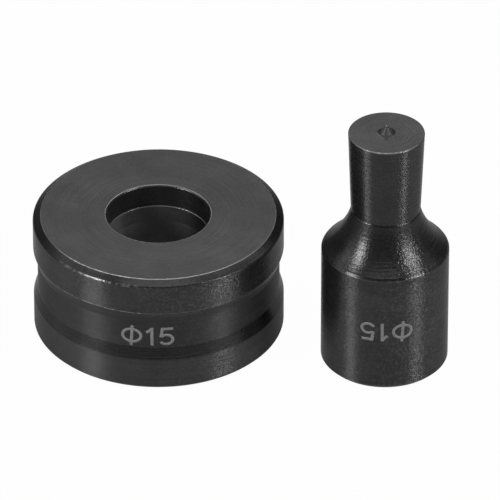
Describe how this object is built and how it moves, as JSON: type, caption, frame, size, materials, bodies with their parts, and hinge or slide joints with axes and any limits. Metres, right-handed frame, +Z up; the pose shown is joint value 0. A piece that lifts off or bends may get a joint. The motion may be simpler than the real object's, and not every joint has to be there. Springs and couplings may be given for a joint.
{
  "type": "knockout punch and die",
  "caption": "Turned steel hole punch with a stepped tip and centring point, standing beside its matching grooved die ring.",
  "frame": {"origin": "centre of the die's cutting hole, on the cutting face that the die stands on", "axes": "+Z up, along the die's bore towards its slug mouth; +X towards the punch's side; -Y towards the viewer"},
  "size_m": [0.0823, 0.05, 0.0539],
  "materials": {
    "die_steel": "turned tool steel, black oxide, oiled",
    "punch_steel": "turned tool steel, black oxide, oiled"
  },
  "bodies": {
    "root": {"die": "die_steel", "punch": "punch_steel"}
  },
  "joints": []
}
